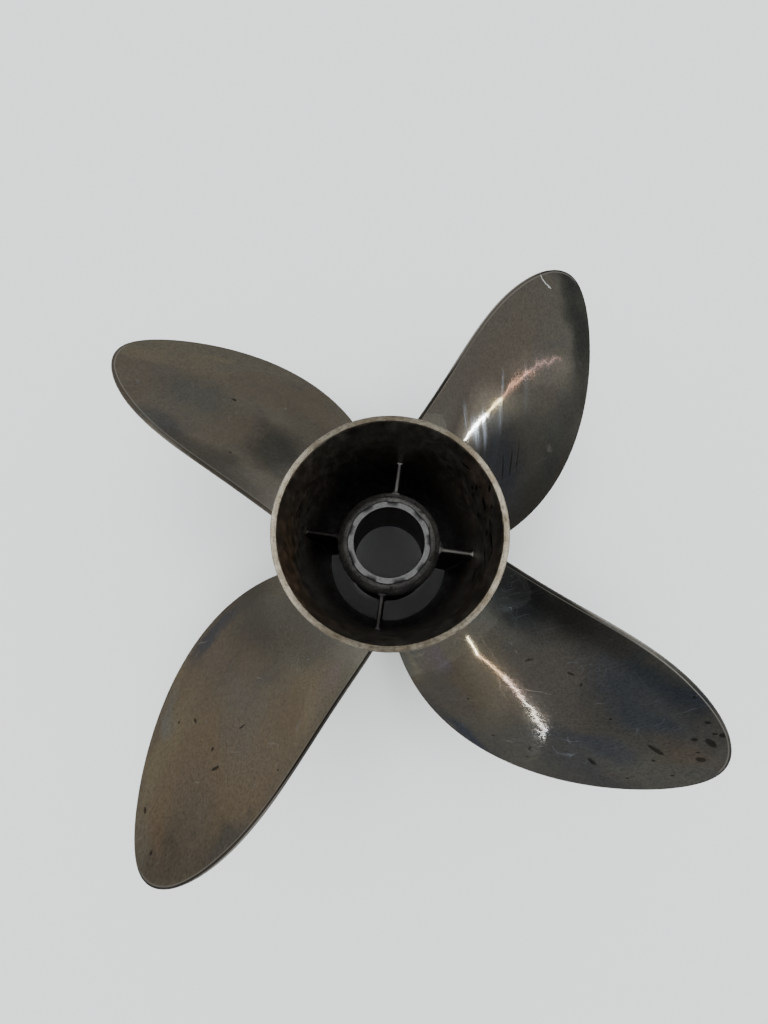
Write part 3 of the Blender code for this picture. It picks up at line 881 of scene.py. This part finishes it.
def blade_metal(number):
    shader = Shader("blade_metal_%d" % number)
    side = shader.attribute("side")
    offset = shader.math("MULTIPLY_ADD", side, 60.0, 100.0 * number - 60.0)
    place = shader.vector(shader.attribute("run_mm"), shader.attribute("radius_mm"), offset)
    on_face = shader.ease(side, 0.55, 0.95)

    # Even brownish tarnish with broad, soft changes of tone
    broad = shader.noise(0.018, 3.0, 0.5, 0.5, place)
    cloud = shader.noise(0.075, 5.0, 0.6, 0.4, place)
    colour = shader.mix(shader.ease(broad, 0.34, 0.66), BROWN, OLIVE)
    colour = shader.mix(shader.ease(cloud, 0.45, 0.8, 0.0, 0.35), colour, SLATE)
    drift = shader.wobble(place, 0.05, 22.0)
    # Patches: tarnish, and also painted shade and painted reflection
    for start, end, width, tone, share in PATCHES[number]:
        gap = shader.stroke(drift, (start[1], start[0]), (end[1], end[0]), 1.25 * width)
        soft = shader.ease(gap, 0.25, 1.35, share, 0.0)
        colour = shader.mix(shader.math("MULTIPLY", soft, on_face), colour, tone)
    mottle = shader.noise(0.35, 6.0, 0.65, 0.3, place)
    # Each blade's tone: partly tarnish, partly painted reflection
    colour = shader.mix(1.0, colour, BLADE_TONE[number], "MULTIPLY")
    colour = shader.shade(colour, mottle, 0.80, 1.20)

    # Fine dark specks, brushed hairlines and curling scratches
    grain = shader.noise(0.9, 3.0, 0.7, 0.0, place)
    colour = shader.shade(colour, grain, 0.5, 1.5)
    speck = shader.ease(grain, 0.60, 0.72, 0.0, 0.55)
    colour = shader.mix(speck, colour, SOOT_AND_SHADE)
    brushed = shader.hairlines(place, 30.0, 0.55, 0.13)
    crossed = shader.hairlines(place, -48.0, 0.7, 0.10)
    patchy = shader.ease(shader.noise(0.06, 2.0, 0.5, 0.0, place), 0.42, 0.62, 0.1, 1.0)
    fine = shader.math("MULTIPLY", shader.math("MAXIMUM", brushed, crossed), patchy)
    colour = shader.mix(shader.math("MULTIPLY", fine, 0.09), colour, RUBBED_AND_SHEEN)
    curls = shader.math("MULTIPLY", shader.threads(place, 0.11, 0.006),
                        shader.ease(shader.noise(0.05, 2.0, 0.5, 0.0, place), 0.52, 0.66))
    colour = shader.mix(shader.math("MULTIPLY", curls, CURL_SHARE[number]), colour, RUBBED_AND_SHEEN)

    # Marks that the photo shows one by one
    uneven = shader.wobble(place, 0.55, 1.1)
    streaky = shader.noise(1.0, 3.0, 0.6, 0.0, shader.stretch((0.03, 1.3, 1.0), place, 27.0))
    streaky = shader.math("MULTIPLY", shader.ease(streaky, 0.35, 0.60, 0.15, 1.0), on_face)
    smeared = 0.0
    # Smears: scratches, and on blade 1 also painted highlight
    for start, end, width, tone, share in SMEARS[number]:
        gap = shader.stroke(uneven, (start[1], start[0]), (end[1], end[0]), width)
        smear = shader.math("MULTIPLY", shader.ease(gap, 0.2, 1.4, share, 0.0), streaky)
        colour = shader.mix(smear, colour, tone)
        smeared = shader.math("MAXIMUM", smear, smeared)
    dark = shader.math("MULTIPLY", shader.strokes(uneven, flip(DARK_MARKS[number]), 0.25), on_face)
    colour = shader.mix(shader.math("MULTIPLY", dark, 0.75), colour, SOOT_AND_SHADE)
    curved = shader.wobble(uneven, 0.09, 9.0)
    light = shader.math("MULTIPLY", shader.strokes(curved, flip(LIGHT_MARKS[number]), 0.6), on_face)
    light = shader.math("MULTIPLY", light, shader.ease(cloud, 0.35, 0.65, 0.06, 0.3))
    colour = shader.mix(light, colour, WORN_AND_HIGHLIGHT)

    # Painted highlight: the glint near blade 1's tip
    bright = shader.math("MULTIPLY", shader.strokes(uneven, flip(GLINT_MARKS.get(number, ())), 0.4),
                         on_face)
    colour = shader.mix(shader.math("MULTIPLY", bright, 0.9), colour, GLINT)

    # Painted shade: the end faces and the trailing edge's bevel are darkened where they mirror dark
    # surroundings. Painted highlight: the bevel's crest and the corners of the trailing edge are
    # lightened.
    across = shader.math("ABSOLUTE", shader.math("SUBTRACT", side, 0.5))
    flank_shade = shader.ease(across, 0.34, 0.46, 1.0, 0.0)
    colour = shader.mix(shader.math("MULTIPLY", flank_shade, 0.85), colour, SOOT_AND_SHADE)
    from_edge = shader.attribute("edge_mm")
    trailing = shader.math("MULTIPLY", shader.ease(shader.attribute("along"), 0.3, 0.6, 1.0, 0.0),
                           on_face)
    off_bevel = shader.attribute("off_bevel_mm")
    bevel = shader.ease(off_bevel, -0.2, 0.0, 1.0, 0.0)
    darkening = shader.math("MULTIPLY", bevel, BEVEL_SHADE[number])
    colour = shader.mix(shader.math("MULTIPLY", darkening, trailing), colour, SOOT_AND_SHADE)
    crest_highlight = shader.ease(shader.math("ABSOLUTE", shader.math("SUBTRACT", off_bevel, 0.05)),
                        0.05, 0.35, CREST_HIGHLIGHT[number], 0.0)
    colour = shader.mix(shader.math("MULTIPLY", crest_highlight, trailing), colour, WORN_AND_HIGHLIGHT)
    corner = shader.ease(from_edge, 0.1, 0.6, 0.35, 0.0)
    corner = shader.math("MULTIPLY", corner, shader.ease(across, 0.42, 0.48))
    colour = shader.mix(corner, colour, WORN_AND_HIGHLIGHT)

    smoothest = BLADE_ROUGHNESS[number]
    rough = shader.ease(shader.noise(2.3, 2.0, 0.6, 0.0, place), 0.44, 0.66, smoothest, smoothest + 0.04)
    rough = shader.math("ADD", rough, shader.math("MULTIPLY", smeared, 0.06))
    haze = shader.math("MULTIPLY", shader.strokes(drift, flip(HAZE.get(number, ())), 0.9), on_face)
    rough = shader.math("ADD", rough, shader.math("MULTIPLY", haze, 0.12))
    rough = shader.math("ADD", rough, shader.math("MULTIPLY", light, 0.5))
    rough = shader.math("ADD", rough, shader.math("MULTIPLY", dark, 0.2))
    wave = shader.bump(shader.noise(0.09, 2.0, 0.5, 0.0, place), 0.035 * MM)
    ripple = shader.noise(0.9, 2.0, 0.5, 0.0, place)
    return shader.finish(colour, rough, shader.bump(ripple, 0.001 * MM, 1.0, wave))


def around_place(shader, radius):
    """Place on the barrel: millimetres round it from +Y towards +X, then up it."""
    east, north, up = shader.node("ShaderNodeSeparateXYZ").outputs
    shader.tree.links.new(shader.place, east.node.inputs[0])
    azimuth = shader.math("ARCTAN2", east, north)
    return shader.vector(shader.math("MULTIPLY", azimuth, radius / MM),
                         shader.math("DIVIDE", up, MM), 0.0)


def aside(shader, radius):
    """0 on the near and far sides of the barrel, 1 on its left and right."""
    parts = shader.node("ShaderNodeSeparateXYZ")
    shader.tree.links.new(shader.place, parts.inputs[0])
    return shader.math("ABSOLUTE", shader.math("DIVIDE", parts.outputs[0], radius))


def bend(marks):
    """Marks given as (degrees, millimetres) turned into millimetres round the barrel."""
    scale = math.radians(BARREL_INNER_RADIUS / MM)
    return [((a[0] * scale, a[1]), (b[0] * scale, b[1]), width) for a, b, width in marks]


def outside_metal():
    shader = Shader("barrel_outside")
    place = around_place(shader, BARREL_RADIUS)
    cloud = shader.noise(35.0, 5.0, 0.6, 0.4)
    mottle = shader.noise(300.0, 5.0, 0.65)
    colour = shader.mix(shader.ease(cloud, 0.35, 0.65), GREEN_GREY, OLIVE)
    colour = shader.shade(colour, mottle, 0.75, 1.25)
    turning = shader.hairlines(place, 0.0, 0.5, 0.12)
    colour = shader.mix(shader.math("MULTIPLY", turning, 0.25), colour, RUBBED_AND_SHEEN)
    worn = shader.ease(shader.node("ShaderNodeNewGeometry").outputs["Pointiness"], 0.5, 0.56)
    colour = shader.mix(shader.math("MULTIPLY", worn, 0.5), colour, WORN_AND_HIGHLIGHT)
    rough = shader.ease(cloud, 0.3, 0.7, 0.26, 0.38)
    normal = shader.bump(shader.noise(120.0, 2.0), 0.05 * MM)
    return shader.finish(colour, rough, shader.bump(turning, -0.006 * MM, 1.0, normal))


def rim_metal():
    shader = Shader("barrel_rim")
    ring = around_place(shader, RIM_RADIUS)
    arc_place = shader.node("ShaderNodeSeparateXYZ")
    shader.tree.links.new(ring, arc_place.inputs[0])
    flat = shader.vector_math("MULTIPLY", shader.place, (1000.0, 1000.0, 0.0))
    out = shader.vector_math("LENGTH", flat)
    brushed = shader.noise(1.0, 4.0, 0.7, 0.0,
                           shader.vector(shader.math("MULTIPLY", arc_place.outputs[0], 0.22),
                                         shader.math("MULTIPLY", out, 1.8), 0.0))
    cloud = shader.noise(70.0, 4.0, 0.6, 0.3)
    mottle = shader.noise(450.0, 4.0, 0.65)
    grain = shader.noise(1300.0, 2.0, 0.6)
    colour = shader.mix(shader.ease(cloud, 0.35, 0.65), (0.140, 0.117, 0.083), (0.225, 0.202, 0.158))
    # Painted light: the rim is darkened towards its near and far sides and stays lightest on its left
    # and right
    colour = shader.shade(colour, shader.ease(aside(shader, RIM_RADIUS), 0.45, 1.0), 0.5, 1.0)
    colour = shader.shade(colour, brushed, 0.35, 1.65)
    colour = shader.shade(colour, mottle, 0.55, 1.45)
    colour = shader.mix(shader.ease(grain, 0.56, 0.68, 0.0, 0.75), colour, (0.045, 0.036, 0.026))
    rough = shader.ease(mottle, 0.3, 0.7, 0.28, 0.44)
    return shader.finish(colour, rough, shader.bump(brushed, 0.04 * MM, 0.6))


def inside_metal():
    shader = Shader("barrel_inside")
    place = around_place(shader, BARREL_INNER_RADIUS)
    height = shader.node("ShaderNodeSeparateXYZ")
    shader.tree.links.new(place, height.inputs[0])
    up = height.outputs[1]
    cloud = shader.noise(26.0, 5.0, 0.6, 0.5)
    mottle = shader.noise(160.0, 5.0, 0.65, 0.3)
    colour = shader.mix(shader.ease(cloud, 0.36, 0.64), (0.135, 0.110, 0.088), (0.120, 0.114, 0.100))
    drift = shader.wobble(place, 0.05, 26.0)
    rusty = shader.stroke(drift, (-112.0, 176.0), (-74.0, 170.0), 34.0)
    colour = shader.mix(shader.ease(rusty, 0.2, 1.3, 0.75, 0.0), colour, (0.28, 0.185, 0.11))
    warm = shader.stroke(drift, (52.0, 176.0), (66.0, 172.0), 16.0)
    colour = shader.mix(shader.ease(warm, 0.2, 1.3, 0.5, 0.0), colour, (0.23, 0.155, 0.11))
    runs = shader.noise(1.0, 4.0, 0.6, 0.4, shader.stretch((0.22, 0.03, 1.0), place))
    colour = shader.shade(colour, runs, 0.72, 1.28)
    colour = shader.shade(colour, mottle, 0.72, 1.28)
    # Darker the deeper down the barrel
    darkening = shader.ease(up, 70.0, 178.0, 0.85, 0.0)
    colour = shader.mix(darkening, colour, SOOT_AND_SHADE)
    # Painted light: the left and right walls are lightened deep in the barrel, where more light falls
    lit_deep_sides = shader.math("MULTIPLY", shader.ease(aside(shader, BARREL_INNER_RADIUS), 0.4, 0.95),
                            shader.ease(up, 120.0, 178.0, 1.0, 0.0))
    colour = shader.shade(colour, lit_deep_sides, 1.0, 2.6)
    uneven = shader.wobble(place, 0.5, 1.6)
    black = shader.strokes(uneven, bend(BARREL_STAINS), 0.3)
    colour = shader.mix(black, colour, (0.004, 0.004, 0.004))
    pale = shader.strokes(uneven, bend(BARREL_SCRATCHES), 0.6)
    colour = shader.mix(shader.math("MULTIPLY", pale, 0.3), colour, (0.30, 0.29, 0.27))
    rough = shader.ease(mottle, 0.3, 0.7, 0.34, 0.5)
    normal = shader.bump(mottle, 0.12 * MM, 0.6)
    return shader.finish(colour, rough, normal)


def cast_metal():
    shader = Shader("hub_core_cast")
    grain = shader.noise(750.0, 3.0, 0.6)
    blotch = shader.noise(110.0, 4.0, 0.6)
    colour = shader.mix(shader.ease(blotch, 0.35, 0.65), (0.036, 0.035, 0.033), (0.062, 0.060, 0.057))
    colour = shader.shade(colour, grain, 0.35, 1.65)
    # Painted light: the shoulder is lightened towards its far right side, where more light falls
    towards = shader.vector_math("MULTIPLY", shader.place, (0.7, 0.7, 0.0))
    parts = shader.node("ShaderNodeSeparateXYZ")
    shader.tree.links.new(towards, parts.inputs[0])
    far_right = shader.math("ADD", parts.outputs[0], parts.outputs[1])
    colour = shader.shade(colour, shader.ease(far_right, 8.0 * MM, 30.0 * MM), 1.0, 2.5)
    pits = shader.ease(shader.noise(380.0, 2.0, 0.5), 0.62, 0.70, 0.0, 0.7)
    colour = shader.mix(pits, colour, SOOT_AND_SHADE)
    normal = shader.bump(grain, 0.22 * MM, 0.7)
    return shader.finish(colour, 0.72, shader.bump(pits, -0.15 * MM, 0.6, normal))


def land_metal():
    """The machined face, with painted shade: darker where it dips between the lobes and in uneven
    patches, with fine turning lines.
    """
    shader = Shader("hub_core_land")
    uneven = shader.math("MULTIPLY_ADD", shader.noise(130.0, 3.0, 0.6, 0.4), 0.9, -0.45)
    facet_shade = shader.math("ADD", shader.attribute("dip"), uneven)
    colour = shader.mix(shader.ease(facet_shade, -0.1, 0.95), (0.086, 0.086, 0.083), (0.016, 0.016, 0.016))
    mottle = shader.noise(700.0, 4.0, 0.6)
    colour = shader.shade(colour, mottle, 0.6, 1.4)
    out = shader.vector_math("LENGTH", shader.vector_math("MULTIPLY", shader.place, (1.0, 1.0, 0.0)))
    turning = shader.noise(2600.0, 2.0, 0.6, 0.0, shader.vector(out, facet_shade, 0.0))
    rough = shader.ease(facet_shade, -0.1, 0.9, 0.4, 0.5)
    normal = shader.bump(shader.noise(180.0, 2.0, 0.5), 0.12 * MM, 0.6)
    return shader.finish(colour, rough, shader.bump(turning, 0.01 * MM, 0.6, normal))


def bore_metal():
    shader = Shader("hub_core_bore")
    cloud = shader.noise(90.0, 4.0, 0.6)
    colour = shader.mix(shader.ease(cloud, 0.35, 0.65), (0.026, 0.024, 0.022), (0.052, 0.048, 0.043))
    colour = shader.shade(colour, shader.noise(700.0, 3.0), 0.7, 1.3)
    return shader.finish(colour, 0.42, shader.bump(cloud, 0.05 * MM))


def web_metal(number):
    shader = Shader("web_cast_%d" % number)
    up = shader.node("ShaderNodeSeparateXYZ")
    shader.tree.links.new(shader.place, up.inputs[0])
    grain = shader.noise(600.0, 4.0, 0.6)
    colour = shader.mix(shader.ease(grain, 0.3, 0.7), (0.030, 0.028, 0.026), (0.070, 0.067, 0.063))
    # Painted shade darkens webs 3 and 4, and a painted highlight lightens the aft edges of webs 1 and 2
    colour = shader.mix(WEB_SHADE_SHARE[number], colour, SOOT_AND_SHADE)
    top = shader.ease(up.outputs[2], WEB_AFT - 0.9 * MM, WEB_AFT - 0.2 * MM,
                      0.0, WEB_EDGE_HIGHLIGHT[number])
    colour = shader.mix(top, colour, (0.125, 0.122, 0.116))
    return shader.finish(colour, 0.5, shader.bump(grain, 0.12 * MM, 0.6))


# Floor, light and camera

def add_floor():
    size = 6.0
    mesh = bpy.data.meshes.new("floor")
    mesh.from_pydata([(-size, -size, 0.0), (size, -size, 0.0), (size, size, 0.0),
                      (-size, size, 0.0)], [], [(0, 1, 2, 3)])
    floor = bpy.data.objects.new("floor", mesh)
    bpy.context.scene.collection.objects.link(floor)
    shader = Shader("floor_paint")
    mesh.materials.append(shader.finish((0.83, 0.84, 0.83), 0.75, metallic=0.0))


def soften(data):
    """Fade a light towards its sides and ends."""
    data.use_nodes = True
    tree = data.node_tree
    place = tree.nodes.new("ShaderNodeNewGeometry").outputs["Parametric"]
    for operation in ("SUBTRACT", "ABSOLUTE"):
        made = tree.nodes.new("ShaderNodeVectorMath")
        made.operation = operation
        made.inputs[1].default_value = (0.5, 0.5, 0.0)
        tree.links.new(place, made.inputs[0])
        place = made.outputs[0]
    parts = tree.nodes.new("ShaderNodeSeparateXYZ")
    tree.links.new(place, parts.inputs[0])
    across = world_step(tree, parts.outputs[0], (0.0, 0.5), 1.0, 0.0)
    strength = world_step(tree, parts.outputs[1], (0.2, 0.5), across, 0.0)
    tree.links.new(strength, tree.nodes["Emission"].inputs["Strength"])


def add_tube(name, stretches, target, soft=False):
    """A bent tube light, there for its reflection in a blade."""
    for number, (start, end, width, brightness, colour) in enumerate(stretches):
        start = Vector(start) * MM
        end = Vector(end) * MM
        middle = (start + end) / 2.0
        data = bpy.data.lights.new("%s_%d" % (name, number), "AREA")
        data.shape = "RECTANGLE"
        data.size = width * MM
        data.size_y = (end - start).length
        data.energy = math.pi * brightness * data.size * data.size_y
        data.color = colour
        if soft:
            soften(data)
        away = (middle - Vector(target)).normalized()
        sideways = (end - start).cross(away).normalized()
        lamp = bpy.data.objects.new(data.name, data)
        basis = Matrix((sideways, away.cross(sideways), away)).transposed()
        lamp.matrix_world = Matrix.Translation(middle) @ basis.to_4x4()
        lamp.visible_camera = False
        lamp.visible_diffuse = False
        bpy.context.scene.collection.objects.link(lamp)


def world_step(tree, value, span, low, high):
    """A smooth step in the brightness of the sky between two values of a direction."""
    made = tree.nodes.new("ShaderNodeMapRange")
    made.interpolation_type = "SMOOTHSTEP"
    tree.links.new(value, made.inputs["Value"])
    for key, number in (("From Min", span[0]), ("From Max", span[1]),
                        ("To Min", low), ("To Max", high)):
        if isinstance(number, bpy.types.NodeSocket):
            tree.links.new(number, made.inputs[key])
        else:
            made.inputs[key].default_value = number
    return made.outputs[0]


def add_lights():
    """A soft sky, brightest in a ring high up, darker overhead and on the near side."""
    world = bpy.data.worlds.new("studio")
    bpy.context.scene.world = world
    world.use_nodes = True
    tree = world.node_tree
    background = tree.nodes["Background"]
    background.inputs["Color"].default_value = (0.96, 0.98, 1.0, 1.0)
    direction = tree.nodes.new("ShaderNodeTexCoord")
    parts = tree.nodes.new("ShaderNodeSeparateXYZ")
    tree.links.new(direction.outputs["Generated"], parts.inputs[0])
    sideways = tree.nodes.new("ShaderNodeMath")
    sideways.operation = "ABSOLUTE"
    tree.links.new(parts.outputs[0], sideways.inputs[0])
    ring = world_step(tree, sideways.outputs[0], (0.05, 0.28), RING_MIDDLE_SHARE * RING_LIGHT,
                      RING_LIGHT)
    bright = world_step(tree, parts.outputs[2], SKY_RING_START, SIDE_LIGHT, ring)
    capped = world_step(tree, parts.outputs[2], SKY_RING_END, bright, TOP_LIGHT)
    shaded = world_step(tree, parts.outputs[1], NEAR_SIDE, NEAR_SIDE_SHARE, 1.0)
    strength = tree.nodes.new("ShaderNodeMath")
    strength.operation = "MULTIPLY"
    tree.links.new(capped, strength.inputs[0])
    tree.links.new(shaded, strength.inputs[1])
    tree.links.new(strength.outputs[0], background.inputs["Strength"])
    add_tube("right_tube", RIGHT_TUBE, (0.085, 0.095, 0.130))
    add_tube("left_tube", LEFT_TUBE, (0.070, -0.090, 0.108))
    add_tube("right_glow", RIGHT_GLOW, (0.085, 0.095, 0.130), True)
    add_tube("left_glow", LEFT_GLOW, (0.070, -0.090, 0.108), True)


def add_camera():
    tilt = math.radians(CAMERA_TILT)
    yaw = math.radians(CAMERA_YAW)
    roll = math.radians(CAMERA_ROLL)
    ahead = Vector((0.0, math.sin(tilt), -math.cos(tilt)))
    up = Vector((0.0, math.cos(tilt), math.sin(tilt)))
    right = Vector((1.0, 0.0, 0.0))
    ahead, right = (ahead * math.cos(yaw) + right * math.sin(yaw),
                    right * math.cos(yaw) - ahead * math.sin(yaw))
    right, up = (right * math.cos(roll) + up * math.sin(roll),
                 up * math.cos(roll) - right * math.sin(roll))
    data = bpy.data.cameras.new("camera")
    data.lens = LENS
    data.sensor_width = 36.0
    data.clip_start = 0.01
    camera = bpy.data.objects.new("camera", data)
    basis = Matrix((right, up, -ahead)).transposed().to_4x4()
    camera.matrix_world = Matrix.Translation(CAMERA_PLACE) @ basis
    bpy.context.scene.collection.objects.link(camera)
    bpy.context.scene.camera = camera


add_camera()
add_lights()
add_floor()
add_barrel()
add_inner_hub()
for index in range(WEB_COUNT):
    add_web(index + 1, WEB_AZIMUTH + 360.0 * index / WEB_COUNT, web_metal(index + 1))
for index in range(BLADE_COUNT):
    add_blade(index + 1, 360.0 * index / BLADE_COUNT, blade_metal(index + 1))
